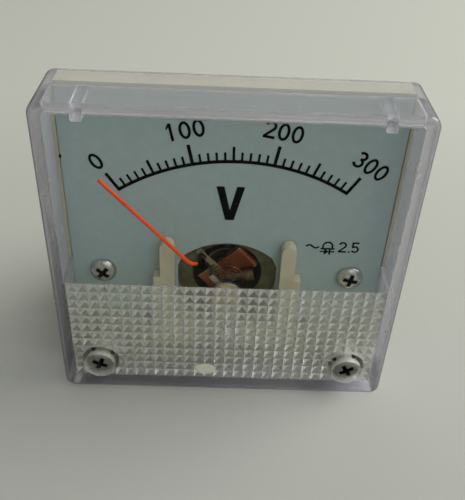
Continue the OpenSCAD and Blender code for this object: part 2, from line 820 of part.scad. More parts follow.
module coil_former() color([0.85, 0.75, 0.7]) at_pivot() difference() {
    coil_loop(coil_w, 0);
    coil_loop(coil_w + 2, -winding_t - former_t);
    difference() {
        coil_loop(coil_w - 2 * flange_w, 1);
        coil_loop(coil_w, -winding_t);
    }
}

module coil_winding() color([0.62, 0.3, 0.16]) at_pivot() difference() {
    coil_loop(coil_w - 2 * flange_w - 0.02, -0.08);
    coil_loop(coil_w + 2, -winding_t + 0.01);
}

module front_pivot() color([0.75, 0.76, 0.78]) at_pivot() {
    turned(coil_a) slab(coil_y - hub_t, coil_y) square([3.4, 2.4], center = true);
    rod(2 * collet_r, spring_y - 0.1, spring_y + spring_h + 0.1);
    rod(staff_d, spring_y, coil_y - hub_t + 0.1);
    rod(tip_d, jewel_back_y - jewel_depth + 0.2, spring_y);
}

module rear_pivot() color([0.75, 0.76, 0.78]) at_pivot() {
    turned(coil_a) slab(coil_end_y, coil_end_y + hub_t) square([3.4, 2.4], center = true);
    rod(2 * collet_r, rear_spring_y - 0.1, rear_spring_y + spring_h + 0.1);
    rod(staff_d, coil_end_y + hub_t - 0.1, rear_spring_y + spring_h);
    rod(tip_d, rear_spring_y, rear_bridge_y - 0.8 + jewel_depth - 0.2);
}

module balance_cross() color([0.78, 0.76, 0.74]) at_pivot() slab(cross_y, cross_y + cross_t) difference() {
    union() {
        circle(1.6);
        rotate(pointer_a) translate([0, -arm_w / 2]) square([pointer_arm, arm_w]);
        for (turn = [-1, 1]) rotate(pointer_a + turn * tail_turn)
            translate([0, -0.45]) square([tail_arm, 0.9]);
    }
    circle(staff_d / 2 + thread_gap);
}

module balance_weights() color([0.72, 0.5, 0.3]) at_pivot()
    for (turn = [-1, 1]) turned(pointer_a + turn * tail_turn) difference() {
        translate([weight_r - weight_len / 2, cross_y + cross_t / 2, 0]) rotate([0, 90, 0])
            cylinder(d = weight_d, h = weight_len);
        translate([0, cross_y - thread_gap, -0.45 - thread_gap])
            cube([tail_arm + 1, cross_t + 2 * thread_gap, 0.9 + 2 * thread_gap]);
    }

// Thin wire from its seat on the balance arm, forward through the window and out over the dial
module pointer() color([0.93, 0.3, 0.16]) at_pivot() turned(pointer_a) {
    foot = [pointer_foot_r, cross_y - 0.51 * pointer_d];
    knee = [pointer_knee_r, pointer_y + pointer_knee];
    out = [pointer_knee_r + pointer_knee, pointer_y];
    wire(foot, 0, pointer_d, -pointer_seat, pointer_lap);
    wire(foot, heading_of(knee - foot), 0.94 * pointer_d, -pointer_lap, norm(knee - foot) + pointer_lap);
    wire(knee, heading_of(out - knee), pointer_d, -pointer_lap, norm(out - knee) + pointer_lap);
    wire(out, 0, 0.94 * pointer_d, -pointer_lap, pointer_len - out[0]);
}

function heading_of(run) = atan2(run[1], run[0]);

// Straight run of wire in the plane of X and Y, through a point at an angle
module wire(point, turn, d, from, to)
    translate([point[0], point[1], 0]) rotate([0, 0, turn]) rotate([0, 90, 0])
        translate([0, 0, from]) cylinder(d = d, h = to - from);

// ---- Circuit and terminals ----

module circuit_board() color([0.72, 0.6, 0.36]) at_barrel() difference() {
    rod(2 * board_r, board_y, board_y + board_t);
    both_sides() rod(terminal_d + 0.3, board_y - 1, board_y + board_t + 1, terminal_x);
}

// A part with wire leads, lying on the front of the board
module axial_part(d, length, reach) {
    rotate([0, 90, 0]) cylinder(d = d, h = length, center = true);
    both_sides() {
        rotate([0, 90, 0]) cylinder(d = lead_d, h = length / 2 + reach);
        translate([length / 2 + reach - lead_d / 2, 0, 0]) rotate([-90, 0, 0]) cylinder(d = lead_d, h = d / 2);
    }
}

module series_resistor() color([0.45, 0.62, 0.72]) at_barrel()
    translate([0, board_y - resistor_d / 2, resistor_z]) axial_part(resistor_d, resistor_len, 0.44 * resistor_d);

module rectifier_diodes() color([0.15, 0.15, 0.16]) at_barrel()
    for (x = [-diode_x, diode_x], z = diode_z)
        translate([x, board_y - diode_d / 2, z]) axial_part(diode_d, diode_len, 0.6 * diode_d);

// The free end is as thick as its thread, and the rest as thick as the middle of the thread's flanks
module terminal_stud(side) color([0.83, 0.68, 0.36]) at_barrel() {
    rod(held_d, board_y - board_nut_t - 1, terminal_free_y + 0.1, side * terminal_x);
    rod(terminal_d, terminal_free_y, barrel_len + terminal_out, side * terminal_x);
    rod(nut_w, board_y + board_t, end_y, side * terminal_x);
}

module board_nuts() color([0.83, 0.68, 0.36]) at_barrel() both_sides() difference() {
    hex_bar(nut_w, board_y - board_nut_t, board_y, terminal_x);
    rod(held_d + 2 * thread_gap, board_y - board_nut_t - 1, board_y + 1, terminal_x);
}

module terminal_washers() color("silver") at_barrel() both_sides() difference() {
    rod(nut_w + 2, barrel_len, barrel_len + washer_t, terminal_x);
    rod(terminal_d + 0.3, barrel_len - 1, barrel_len + washer_t + 1, terminal_x);
}

// Split spring washers
module lock_washers() color("silver") at_barrel() both_sides() difference() {
    rod(nut_w, barrel_len + washer_t, barrel_len + washer_t + lock_t, terminal_x);
    rod(terminal_d + 0.2, barrel_len, barrel_len + 5, terminal_x);
    translate([terminal_x, barrel_len, -0.25]) cube([nut_w, 5, 0.5]);
}

module terminal_nuts() color([0.83, 0.68, 0.36]) at_barrel() both_sides() {
    nut_y = barrel_len + washer_t + lock_t;
    difference() {
        hex_bar(nut_w, nut_y, nut_y + terminal_nut_t, terminal_x);
        rod(held_d + 2 * thread_gap, nut_y - 1, nut_y + terminal_nut_t + 1, terminal_x);
    }
}

front_cover();
cover_prisms();
rear_case();
cover_screw(-1);  // cover_screw_left
cover_screw(1);  // cover_screw_right
dial_plate();
dial_scale();
dial_figures();
dial_letter();
dial_symbols();
dial_screw(-1);  // dial_screw_left
dial_screw(1);  // dial_screw_right
movement_frame();
yoke_ring();
core_cage();
core_magnet();
front_bridge();
front_bridge_screw();
front_jewel_screw();
front_jewel_nut();
rear_bridge();
rear_bridge_screws();
rear_jewel_screw();
rear_jewel_nut();
zero_lever();
front_hairspring();
rear_hairspring();
coil_former();
coil_winding();
front_pivot();
rear_pivot();
balance_cross();
balance_weights();
pointer();
circuit_board();
series_resistor();
rectifier_diodes();
terminal_stud(-1);  // terminal_stud_left
terminal_stud(1);  // terminal_stud_right
board_nuts();
terminal_washers();
lock_washers();
terminal_nuts();
mounting_studs();
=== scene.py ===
# %% [markdown]
# # A small panel meter
# The imported model gives every solid its place, and this script dresses it. The moving coil with
# its pointer and the zero lever are bodies of their own, and the case is a third. Each piece made
# here rides on one of them, except the hairspring.

# %% Load the frame
import math

import bpy
from mathutils import Matrix, Vector


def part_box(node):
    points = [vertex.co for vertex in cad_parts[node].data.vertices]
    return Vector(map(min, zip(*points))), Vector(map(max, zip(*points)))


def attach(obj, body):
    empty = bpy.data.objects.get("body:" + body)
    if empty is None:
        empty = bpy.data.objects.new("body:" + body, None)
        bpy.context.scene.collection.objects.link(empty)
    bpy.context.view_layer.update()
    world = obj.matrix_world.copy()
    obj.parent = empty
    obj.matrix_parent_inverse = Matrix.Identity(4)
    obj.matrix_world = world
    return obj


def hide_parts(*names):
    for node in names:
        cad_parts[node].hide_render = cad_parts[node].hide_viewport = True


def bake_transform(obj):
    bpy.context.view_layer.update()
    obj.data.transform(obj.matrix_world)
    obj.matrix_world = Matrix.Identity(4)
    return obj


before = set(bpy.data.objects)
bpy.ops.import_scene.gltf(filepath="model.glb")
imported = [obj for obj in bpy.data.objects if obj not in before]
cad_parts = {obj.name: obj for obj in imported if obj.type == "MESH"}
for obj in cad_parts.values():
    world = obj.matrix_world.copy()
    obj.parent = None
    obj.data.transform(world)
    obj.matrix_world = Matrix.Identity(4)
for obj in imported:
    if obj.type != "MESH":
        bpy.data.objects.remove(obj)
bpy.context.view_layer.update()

MM = 0.001

# %% [markdown]
# ## Places from the frame
# Blender counts in metres, and a maker of meters thinks in millimetres. So every length below is
# in millimetres, and becomes metres only where Blender takes it. The places could be typed in,
# but they would drift from the model, so they are read from the boxes of its solids.

# %% Read the places
def span(node):
    """Lowest and highest corner of a solid, in millimetres."""
    return tuple(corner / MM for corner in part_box(node))


def axis_of(node):
    """The x and z of the middle of a solid that stands along Y."""
    low, high = span(node)
    return (low.x + high.x) / 2, (low.z + high.z) / 2


cover_low, cover_high = span("front_cover")
prism_low, prism_high = span("cover_prisms")
case_low, case_high = span("rear_case")
dial_corner = span("dial_plate")[0]
face_y, dial_y = cover_low.y, dial_corner.y
half_w, half_h = cover_high.x, cover_high.z
screw_x, screw_z = axis_of("cover_screw_right")
pivot = Vector((0, 0, axis_of("core_magnet")[1]))
print("face at", round(face_y, 2), "pivot at height", round(pivot.z, 2))

# %% [markdown]
# ## Finishes
# No finish on a real meter is one flat colour. Plating is a little cloudy, lacquer is mottled and
# moulded plastic has a fine grain. All this could be painted by hand, but noise on the piece's
# own coordinates stays sharp at any distance and needs no image. One helper makes the base of a
# finish, and the others lay patterns on its colour, its gloss and its bumps.

# %% Base of a finish
def tone(red, green, blue):
    """A colour as a paint chart gives it, from 0 to 255, on the renderer's scale of light."""
    shares = [value / 255 for value in (red, green, blue)]
    return [((s + 0.055) / 1.055) ** 2.4 if s > 0.04 else s / 12.92 for s in shares] + [1]


def finish(name, colour, roughness, metal=0.0, **sockets):
    """A new material. Each further socket of its shader is named with _ for a space."""
    made = bpy.data.materials.new(name)
    made.use_nodes = True
    shader = made.node_tree.nodes["Principled BSDF"]
    shader.inputs["Base Color"].default_value = tone(*colour)
    shader.inputs["Roughness"].default_value = roughness
    shader.inputs["Metallic"].default_value = metal
    for socket, value in sockets.items():
        shader.inputs[socket.replace("_", " ")].default_value = value
    return made


# %% Patterns on a finish
def noise(made, marks, detail=3.0, stretch=(1, 1, 1), kind="ShaderNodeTexNoise"):
    """A pattern on the piece's own coordinates, with so many marks to a metre."""
    nodes, links = made.node_tree.nodes, made.node_tree.links
    place = nodes.new("ShaderNodeTexCoord")
    mapping = nodes.new("ShaderNodeMapping")
    mapping.inputs["Scale"].default_value = stretch
    pattern = nodes.new(kind)
    pattern.inputs["Scale"].default_value = marks
    pattern.inputs["Detail"].default_value = detail
    links.new(place.outputs["Object"], mapping.inputs["Vector"])
    links.new(mapping.outputs["Vector"], pattern.inputs["Vector"])
    return pattern.outputs[0]


def vary(made, pattern, low, high, socket="Base Color", low_at=0.3, high_at=0.7):
    """Spreads a pattern over a range of chart colours, or of numbers, on one socket."""
    nodes, links = made.node_tree.nodes, made.node_tree.links
    ramp = nodes.new("ShaderNodeValToRGB")
    for stop, value, at in zip(ramp.color_ramp.elements, (low, high), (low_at, high_at)):
        stop.position = at
        stop.color = tone(*value) if isinstance(value, tuple) else (value, value, value, 1)
    links.new(pattern, ramp.inputs["Fac"])
    links.new(ramp.outputs["Color"], nodes["Principled BSDF"].inputs[socket])
    return made


def emboss(made, pattern, strength, depth):
    """Turns a pattern into bumps of a depth in millimetres."""
    nodes, links = made.node_tree.nodes, made.node_tree.links
    bump = nodes.new("ShaderNodeBump")
    bump.inputs["Strength"].default_value = strength
    bump.inputs["Distance"].default_value = depth * MM
    links.new(pattern, bump.inputs["Height"])
    links.new(bump.outputs["Normal"], nodes["Principled BSDF"].inputs["Normal"])
    return made


def mottled(name, middle, dark, light, roughness, metal, marks, detail=3.0, **sockets):
    """A finish whose colour drifts from dark to light. The pattern covers the middle tone, which
    shows only in a viewer that can't read patterns."""
    made = finish(name, middle, roughness, metal, **sockets)
    return vary(made, noise(made, marks, detail), dark, light)


# %% [markdown]
# ## Clear plastic
# The cover is moulded from clear styrene. Its flat window is polished, its walls are as the mould
# left them, a little cloudy and faintly violet, and its pyramids have a fine satin grain. One
# glass for the whole cover would look wrong, so each region gets its own. Lamps have to reach the
# dial, so each shader steps aside for shadow rays. The window bends light less than styrene does,
# because the full value would lay a grey veil of inner reflections over the print.

# %% Clear plastic
def styrene(name, colour, roughness, clarity, shine, lamp_tint, bending=1.56):
    """Clear plastic that lets the light of lamps through, tinted."""
    made = finish(name, colour, roughness, IOR=bending, Transmission_Weight=clarity,
                  Specular_IOR_Level=shine)
    nodes, links = made.node_tree.nodes, made.node_tree.links
    path = nodes.new("ShaderNodeLightPath")
    gate = nodes.new("ShaderNodeBsdfTransparent")
    gate.inputs["Color"].default_value = tone(*lamp_tint)
    pass_lamps = nodes.new("ShaderNodeMixShader")
    links.new(path.outputs["Is Shadow Ray"], pass_lamps.inputs["Fac"])
    links.new(nodes["Principled BSDF"].outputs[0], pass_lamps.inputs[1])
    links.new(gate.outputs[0], pass_lamps.inputs[2])
    links.new(pass_lamps.outputs[0], nodes["Material Output"].inputs["Surface"])
    return made


window_clear = styrene("window_styrene", (248, 249, 249), 0.015, 1.0, 0.06, (244, 245, 246), 1.2)
vary(window_clear, noise(window_clear, 420, 4), 0.01, 0.03, "Roughness", 0.45, 0.8)
wall_clear = styrene("wall_styrene", (212, 211, 217), 0.2, 0.78, 0.3, (236, 236, 241))
vary(wall_clear, noise(wall_clear, 260, 4), 0.14, 0.28, "Roughness")
emboss(wall_clear, noise(wall_clear, 110, 2), 0.06, 0.08)
roof_clear = styrene("roof_styrene", (242, 242, 244), 0.06, 0.9, 0.2, (240, 240, 242))
vary(roof_clear, noise(roof_clear, 200, 4), 0.03, 0.1, "Roughness")
prism_clear = styrene("prism_styrene", (214, 216, 198), 0.34, 0.8, 0.12, (240, 240, 236))
vary(prism_clear, noise(prism_clear, 900, 3), 0.24, 0.38, "Roughness")
boss_clear = styrene("boss_styrene", (226, 226, 214), 0.35, 0.5, 0.2, (240, 240, 238))
vary(boss_clear, noise(boss_clear, 500, 3), 0.22, 0.4, "Roughness")
cover_finishes = (window_clear, wall_clear, prism_clear, roof_clear, boss_clear)
WINDOW, WALL, PRISM, ROOF, BOSS = range(len(cover_finishes))
print("clear finishes", len(cover_finishes))

# %% [markdown]
# ## Working by hand, in code
# By hand, a solid starts as a primitive in its place, a bevel rounds the edges that are picked,
# and a boolean joins on a second solid or cuts it away. The same moves work in code, if edges are
# picked by where they are. Each move is a helper here, and these few make most of the meter.

# %% Hold and name
def hold(piece):
    """Makes a piece the only one that the next operator acts on."""
    bpy.ops.object.select_all(action="DESELECT")
    piece.select_set(True)
    bpy.context.view_layer.objects.active = piece
    return piece


def settle(name):
    """Names the new primitive and puts its place into its mesh."""
    piece = bpy.context.object
    piece.name = piece.data.name = name
    bpy.ops.object.transform_apply(location=True, rotation=True, scale=True)
    return piece


def block(name, low, high):
    """A box between two corners."""
    middle = [(a + b) / 2 * MM for a, b in zip(low, high)]
    bpy.ops.object.select_all(action="DESELECT")
    bpy.ops.mesh.primitive_cube_add(size=1, location=middle)
    bpy.context.object.scale = [(b - a) * MM for a, b in zip(low, high)]
    return settle(name)


# %% Pick and round
CLOSE = 0.01    # a point this near to a plane lies on it


def pick(piece, kind, wanted):
    """Selects the edges or faces that wanted() says yes to, and stays in edit mode."""
    hold(piece)
    bpy.ops.object.mode_set(mode="EDIT")
    bpy.ops.mesh.select_mode(type=kind)
    bpy.ops.mesh.select_all(action="DESELECT")
    bpy.ops.object.mode_set(mode="OBJECT")
    points = [vertex.co / MM for vertex in piece.data.vertices]
    if kind == "EDGE":
        for edge in piece.data.edges:
            edge.select = bool(wanted(*(points[i] for i in edge.vertices)))
    else:
        for face in piece.data.polygons:
            face.select = bool(wanted(face.center / MM, face.normal))
    bpy.ops.object.mode_set(mode="EDIT")


def round_edges(piece, wanted, width, steps=4):
    """Rounds the edges that wanted() says yes to."""
    pick(piece, "EDGE", wanted)
    bpy.ops.mesh.bevel(offset=width * MM, segments=steps, affect="EDGES")
    bpy.ops.object.mode_set(mode="OBJECT")
    return piece


def along_y(a, b):
    """Yes to an edge that runs along Y."""
    return max(abs(a.x - b.x), abs(a.z - b.z)) < 1e-4


# %% Join and cut
def carve(piece, tool, how="DIFFERENCE", materials="INDEX"):
    """Cuts the tool out of the piece, or joins it on, and takes the tool away."""
    hold(piece)
    step = piece.modifiers.new("carve", "BOOLEAN")
    step.operation, step.object = how, tool
    step.solver, step.material_mode = "EXACT", materials
    bpy.ops.object.modifier_apply(modifier=step.name)
    bpy.data.objects.remove(tool)
    return piece


# %% [markdown]
# ## Cover
# One clear moulding: a tray with a rounded rim, two ribs under its roof, a step in each side
# wall, a hollow boss for each screw and a field of pyramids inside its face. A shell could be
# made with a Solidify modifier, but its walls differ in thickness. It is cut and joined from
# simple shapes, because light passes through the walls and would show any face left inside them.

# %% Cover shell
front_wall, side_wall, top_wall, mouth_wall = 2.0, 1.8, 2.2, 1.2
corner, rim = 2.0, 1.0
cavity_corner, cavity_rim = 0.7, 0.35
past_back = 1
inside_y = face_y + front_wall
inside_x, roof_z = half_w - side_wall, half_h - top_wall

cover = block("clear_cover", (-half_w, face_y, -half_h), (half_w, 0, half_h))
round_edges(cover, along_y, corner, 8)
round_edges(cover, lambda a, b: max(a.y, b.y) < face_y + CLOSE, rim, 5)
cavity = block("cavity", (-inside_x, inside_y, -roof_z), (inside_x, past_back, roof_z))
round_edges(cavity, along_y, cavity_corner)
round_edges(cavity, lambda a, b: max(a.y, b.y) < inside_y + CLOSE, cavity_rim, 3)
carve(cover, cavity)
mouth = block("mouth", (mouth_wall - half_w, case_low.y - 0.05, mouth_wall - half_h),
              (half_w - mouth_wall, past_back, half_h - mouth_wall))
round_edges(mouth, along_y, mouth_wall, 5)
carve(cover, mouth)
print("shell", len(cover.data.polygons), "faces")

# %% Roof ribs and side steps
sink = 0.3      # how far a joined shape goes into its wall, so that no gap or seam is left
rib_half, rib_drop, rib_edge, rib_gap = 0.95, 1.3, 0.25, 0.3
step_x, step_slope, step_gap, step_foot = prism_high.x + 0.1, 2.6, 0.4, 0.2


def roof_rib(side):
    """A rib under the roof, with its lower edges rounded."""
    x0, x1 = sorted((side * (screw_x - rib_half), side * (screw_x + rib_half)))
    rib = block("roof_rib", (x0, inside_y - sink, roof_z - rib_drop),
                (x1, dial_y - rib_gap, roof_z + sink))
    return round_edges(rib, lambda a, b: max(a.z, b.z) < roof_z - rib_drop / 2, rib_edge, 3)


def side_step(side):
    """A thicker stretch of the side wall that slopes down to the front at its top."""
    x0, x1 = sorted((side * step_x, side * (inside_x + sink)))
    step = block("side_step", (x0, inside_y - sink, step_foot - half_h),
                 (x1, dial_y - step_gap, prism_high.z + step_slope))
    pick(step, "EDGE", lambda a, b: min(a.y, b.y) < inside_y and min(a.z, b.z) > prism_high.z)
    bpy.ops.transform.translate(value=(0, 0, -step_slope * MM))
    bpy.ops.object.mode_set(mode="OBJECT")
    return step


# %% [markdown]
# ## Turned pieces
# Bosses, screws and studs are round. A lathe gives them their outline, and Screw or Spin would do
# the same in Blender. Here a disc is pushed along Y step by step and resized at each, which makes
# clean closed rings from a plain list of radii.

# %% Turned pieces
def turned(name, profile, x, z, sides=48):
    """A round piece about an axis along Y. Its profile lists a radius and a y at each step."""
    radius, y = profile[0]
    bpy.ops.object.select_all(action="DESELECT")
    bpy.ops.mesh.primitive_circle_add(
        vertices=sides, radius=radius * MM, fill_type="NGON",
        location=(x * MM, y * MM, z * MM), rotation=(math.pi / 2, 0, 0))
    piece = settle(name)
    bpy.ops.object.mode_set(mode="EDIT")
    bpy.ops.mesh.select_mode(type="FACE")
    bpy.ops.mesh.select_all(action="SELECT")
    for next_radius, next_y in profile[1:]:
        bpy.ops.mesh.extrude_region_move(
            TRANSFORM_OT_translate={"value": (0, (next_y - y) * MM, 0)})
        grow = next_radius / radius
        bpy.ops.transform.resize(
            value=(grow, 1, grow), center_override=(x * MM, next_y * MM, z * MM))
        radius, y = next_radius, next_y
    bpy.ops.mesh.select_all(action="SELECT")
    bpy.ops.mesh.normals_make_consistent(inside=False)
    bpy.ops.object.mode_set(mode="OBJECT")
    return piece


# %% Bosses, and all joined on
boss_radius, boss_top, boss_bevel, boss_gap = 3.75, 3.5, 0.35, 1.85


def screw_boss(side):
    """The round post that a cover screw runs through, with its end bevelled."""
    end = dial_y - boss_gap
    profile = [(boss_radius, inside_y - sink), (boss_radius, end - boss_bevel), (boss_top, end)]
    return turned("screw_boss", profile, side * screw_x, screw_z)


for side in (-1, 1):
    for shape in (roof_rib(side), side_step(side), screw_boss(side)):
        carve(cover, shape, "UNION")
print("cover with ribs", len(cover.data.polygons), "faces")

# %% [markdown]
# ## Pyramid field
# The lower half of the face is broken up by rows of small pyramids on its inner side, which hide
# the movement. They could be copies of one pyramid, but then each would have to be joined on. So
# the cells of a grid are poked up into pyramids, the sheet gets a thickness that sinks into the
# wall, and one union joins it to the cover. Cells by the screw bosses stay flat.

# %% Pyramid field
columns, rows, pyramid = 30, 12, 0.8
boss_clearance = 0.15
field_base = prism_high.y - pyramid


def from_screw(point):
    """How far a point is from the axis of the nearer cover screw."""
    return math.hypot(abs(point.x) - screw_x, point.z - screw_z)


bpy.ops.object.select_all(action="DESELECT")
bpy.ops.mesh.primitive_grid_add(
    x_subdivisions=columns, y_subdivisions=rows, size=1,
    location=(0, field_base * MM, (prism_low.z + prism_high.z) / 2 * MM),
    rotation=(-math.pi / 2, 0, 0))
bpy.context.object.scale = (2 * prism_high.x * MM, (prism_high.z - prism_low.z) * MM, 1)
field = settle("pyramid_field")
pick(field, "FACE", lambda centre, normal: from_screw(centre) > boss_radius + boss_clearance)
bpy.ops.mesh.poke(offset=pyramid * MM)

# %% Back of the field
bpy.ops.mesh.select_mode(type="EDGE")
bpy.ops.mesh.select_all(action="DESELECT")
bpy.ops.mesh.select_non_manifold()
bpy.ops.mesh.extrude_region_move(
    TRANSFORM_OT_translate={"value": (0, (inside_y - sink - field_base) * MM, 0)})
bpy.ops.mesh.edge_face_add()
bpy.ops.mesh.select_all(action="SELECT")
bpy.ops.mesh.normals_make_consistent(inside=False)
bpy.ops.object.mode_set(mode="OBJECT")
reach = max(vertex.co.y for vertex in field.data.vertices) / MM
print("pyramids", len(field.data.polygons), "faces, reach", round(reach, 2))
carve(cover, field, "UNION")

# %% Screw holes
hole_radius = 1.65
recess_radius, recess_depth, recess_lip = 2.95, 2.0, 0.15
recess_mouth = recess_radius + recess_lip


def rod(name, radius, y0, y1, x, z):
    """A plain round bar along Y, to cut with."""
    bpy.ops.object.select_all(action="DESELECT")
    bpy.ops.mesh.primitive_cylinder_add(
        vertices=48, radius=radius * MM, depth=(y1 - y0) * MM,
        location=(x * MM, (y0 + y1) / 2 * MM, z * MM), rotation=(math.pi / 2, 0, 0))
    return settle(name)


for x in (-screw_x, screw_x):
    carve(cover, rod("shank_hole", hole_radius, face_y - 1, past_back, x, screw_z))
    carve(cover, turned("head_recess", [
        (recess_mouth, face_y - 0.5), (recess_mouth, face_y),
        (recess_radius, face_y + recess_lip), (recess_radius, face_y + recess_depth)], x, screw_z))
print("cover with holes", len(cover.data.polygons), "faces")

# %% [markdown]
# ## Shading and handing over
# Smooth shading alone lets a rounded edge bend the light on the flat face beside it. On a clear
# cover that shows as streaks. Weighted normals give the say to the large faces, so those stay
# flat. Then each piece is told which body it rides on and which solids it stands for.

# %% Smooth and fit
def smooth(piece, angle=30):
    """Smooth shading over gentle edges, in which the large flat faces stay flat."""
    hold(piece)
    bpy.ops.object.shade_smooth_by_angle(angle=math.radians(angle))
    level = piece.modifiers.new("level", "WEIGHTED_NORMAL")
    level.mode, level.weight, level.keep_sharp = "FACE_AREA", 90, True
    bpy.ops.object.modifier_apply(modifier=level.name)
    return piece


def fit(piece, body, slot, look, *nodes):
    """Gives a finished piece its body, its material and the solids it stands for. The slot is not
    used.
    """
    if look:
        piece.data.materials.clear()
        piece.data.materials.append(look)
    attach(piece, body)
    if nodes:
        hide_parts(*nodes)
    print(piece.name, len(piece.data.polygons), "faces")
    return piece


# %% Finishes on the cover
skin = 0.05     # how far beyond a surface the middle of its faces may lie


def cover_region(centre, normal):
    """The finish that a face of the cover takes, by its place and direction."""
    upright, slanting = abs(normal.y) > 0.999, 0.3 < abs(normal.y) < 0.98
    level = abs(normal.z) > 0.7
    on_pane = centre.y < face_y + CLOSE or abs(centre.y - inside_y) < 2 * CLOSE
    among_pyramids = (abs(centre.x) < prism_high.x and centre.z < prism_high.z
                      and inside_y + CLOSE < centre.y < prism_high.y + skin)
    if from_screw(centre) < boss_radius + skin and centre.y > face_y + skin:
        return BOSS
    if upright and on_pane:
        return WINDOW
    if slanting and among_pyramids:
        return PRISM
    if level and centre.z > roof_z - 2 * skin:
        return ROOF
    return WALL


smooth(cover, 28)
fit(cover, "case", "clear_cover", window_clear, "front_cover", "cover_prisms")
for made in cover_finishes[1:]:
    cover.data.materials.append(made)
for face in cover.data.polygons:
    face.material_index = cover_region(face.center / MM, face.normal)
print("finishes on the cover", [sum(face.material_index == i for face in cover.data.polygons)
                                for i in range(len(cover_finishes))])

# %% [markdown]
# ## Screws
# The four screws on the face are pan heads with a cross recess. A cross could be painted on a
# plain head, but light falls into the real recess. So the head is turned, and a cross with
# tapered arms is cut into it. Its cut faces get a near-black colour, which is painted shade on
# top of the shade that falls into the recess. The shanks show through the clear bosses. A true
# helix would be heavy, and ring grooves look the same at this size.

# %% Screw finishes
screw_plate = mottled(
    "screw_plate", (206, 206, 198), (186, 185, 176), (222, 222, 216), 0.22, 1.0, 900)
screw_zinc = mottled(
    "screw_zinc", (168, 168, 158), (150, 150, 140), (186, 186, 176), 0.5, 0.7, 900)
# Painted shade: near black for the faces that each cross cuts, darker than the recess falls by
# itself.
painted_recess_shade = mottled("painted_recess_shade", (14, 14, 13), (8, 8, 7), (24, 24, 22), 0.5, 0.3, 1400)

# %% Thread and cross recess
arm_reach, arm_half, arm_depth = 0.31, 0.085, 0.27     # shares of the head's width
arm_floor = (0.4, 1, 0.6)                              # the recess narrows to this at its floor


def ring_thread(radius, depth, pitch, y0, y1):
    """The profile of a thread, as grooves from y0 to y1."""
    count = max(1, int(abs(y1 - y0) / pitch))
    step = (y1 - y0) / count
    profile = []
    for i in range(count):
        profile += [(radius - depth, y0 + i * step), (radius, y0 + (i + 0.35) * step),
                    (radius, y0 + (i + 0.65) * step)]
    return profile + [(radius - depth, y1)]


def cross_cutter(x, y, z, width, angle):
    """A cross with tapered arms, its open side at y, turned by an angle in degrees."""
    arms = []
    place = Matrix.Translation((x * MM, y * MM, z * MM))
    for turn in (angle, angle + 90):
        arm = block("arm", (-arm_reach * width, -0.1, -arm_half * width),
                    (arm_reach * width, arm_depth * width, arm_half * width))
        pick(arm, "FACE", lambda centre, normal: normal.y > 0.5)
        bpy.ops.transform.resize(value=arm_floor, center_override=(0, 0, 0))
        bpy.ops.object.mode_set(mode="OBJECT")
        # The arm's faces carry the painted shade into the head that it cuts.
        arm.data.materials.append(painted_recess_shade)
        arm.data.transform(place @ Matrix.Rotation(math.radians(turn), 4, "Y"))
        arms.append(arm)
    return carve(arms[0], arms[1], "UNION")


# %% Face screws
pan_head = [(0.12, 0), (0.4, 0.03), (0.62, 0.1), (0.8, 0.22), (0.92, 0.38), (0.985, 0.58),
            (1, 0.75), (0.97, 0.97), (0.9, 1)]         # shares of the head's radius and height
thread_depth, thread_pitch, plain_end = 0.2, 0.5, 0.3


def face_screw(node, head, shank, angle, plating):
    """A pan head screw in the place of a solid, with its cross at an angle in degrees."""
    low, high = span(node)
    x, z = axis_of(node)
    radius, seat = (high.x - low.x) / 2, low.y + head
    profile = [(radius * r, low.y + head * h) for r, h in pan_head] + [(shank, seat + 0.02)]
    profile += ring_thread(shank, thread_depth, thread_pitch, seat + plain_end, high.y - plain_end)
    profile += [(0.6 * shank, high.y)]
    screw = turned(node + "_finished", profile, x, z, 40)
    screw.data.materials.append(plating)
    carve(screw, cross_cutter(x, low.y, z, 2 * radius, angle), materials="TRANSFER")
    return fit(smooth(screw, 35), "case", "screw_steel", None, node)


face_screw("cover_screw_left", 1.7, 1.5, 24, screw_zinc)
face_screw("cover_screw_right", 1.7, 1.5, 58, screw_zinc)
face_screw("dial_screw_left", 1.6, 1.25, 40, screw_plate)
face_screw("dial_screw_right", 1.6, 1.25, 12, screw_plate)

# %% [markdown]
# ## Case, dial and movement
# The case and the movement's frame are moulded in cream plastic, the dial is painted sheet, and
# the ring round the coil is lacquered iron. Their form is right already, so nothing is modelled
# again. They only lose their razor edges, which no moulding or stamping has: a narrow bevel on a
# copy catches the light as a real edge does.

# %% Plastic and paint
cream = mottled("cream_moulding", (184, 180, 150), (184, 180, 154), (196, 192, 170), 0.42, 0.0, 90,
                IOR=1.5)
emboss(cream, noise(cream, 2600, 2), 0.15, 0.02)
frame_cream = mottled(
    "movement_moulding", (214, 206, 176), (206, 197, 166), (222, 215, 188), 0.38, 0.0, 160,
    Subsurface_Weight=0.15, Subsurface_Radius=(0.0012, 0.001, 0.0007))
dial_paint = mottled(
    "dial_paint", (172, 190, 187), (169, 187, 183), (175, 193, 190), 0.5, 0.0, 700, 4,
    Specular_IOR_Level=0.3)
emboss(dial_paint, noise(dial_paint, 5200, 2), 0.12, 0.01)

# %% Metals of the movement
brushed = (1, 1, 14)
bridge_plate = finish("bridge_plate", (205, 207, 208), 0.28, 1.0)
emboss(bridge_plate, noise(bridge_plate, 300, 3, brushed), 0.2, 0.02)
vary(bridge_plate, noise(bridge_plate, 260, 3, brushed), (188, 190, 190), (220, 221, 221))
lever_sheet = mottled(
    "lever_sheet", (190, 188, 180), (172, 170, 160), (204, 202, 196), 0.34, 1.0, 700)
iron = mottled("ring_lacquer", (104, 103, 74), (90, 89, 62), (118, 117, 86), 0.36, 0.45, 500, 5)
emboss(iron, noise(iron, 2400, 3), 0.25, 0.02)
bare_aluminium = mottled(
    "bare_aluminium", (196, 178, 148), (178, 160, 130), (208, 192, 164), 0.4, 0.8, 900)
brass = mottled(
    "turned_brass", (212, 188, 130), (196, 170, 112), (224, 202, 146), 0.28, 1.0, 500, 4)
zinc = mottled("zinc_plate", (186, 188, 188), (164, 166, 166), (204, 206, 205), 0.36, 1.0, 700, 5)

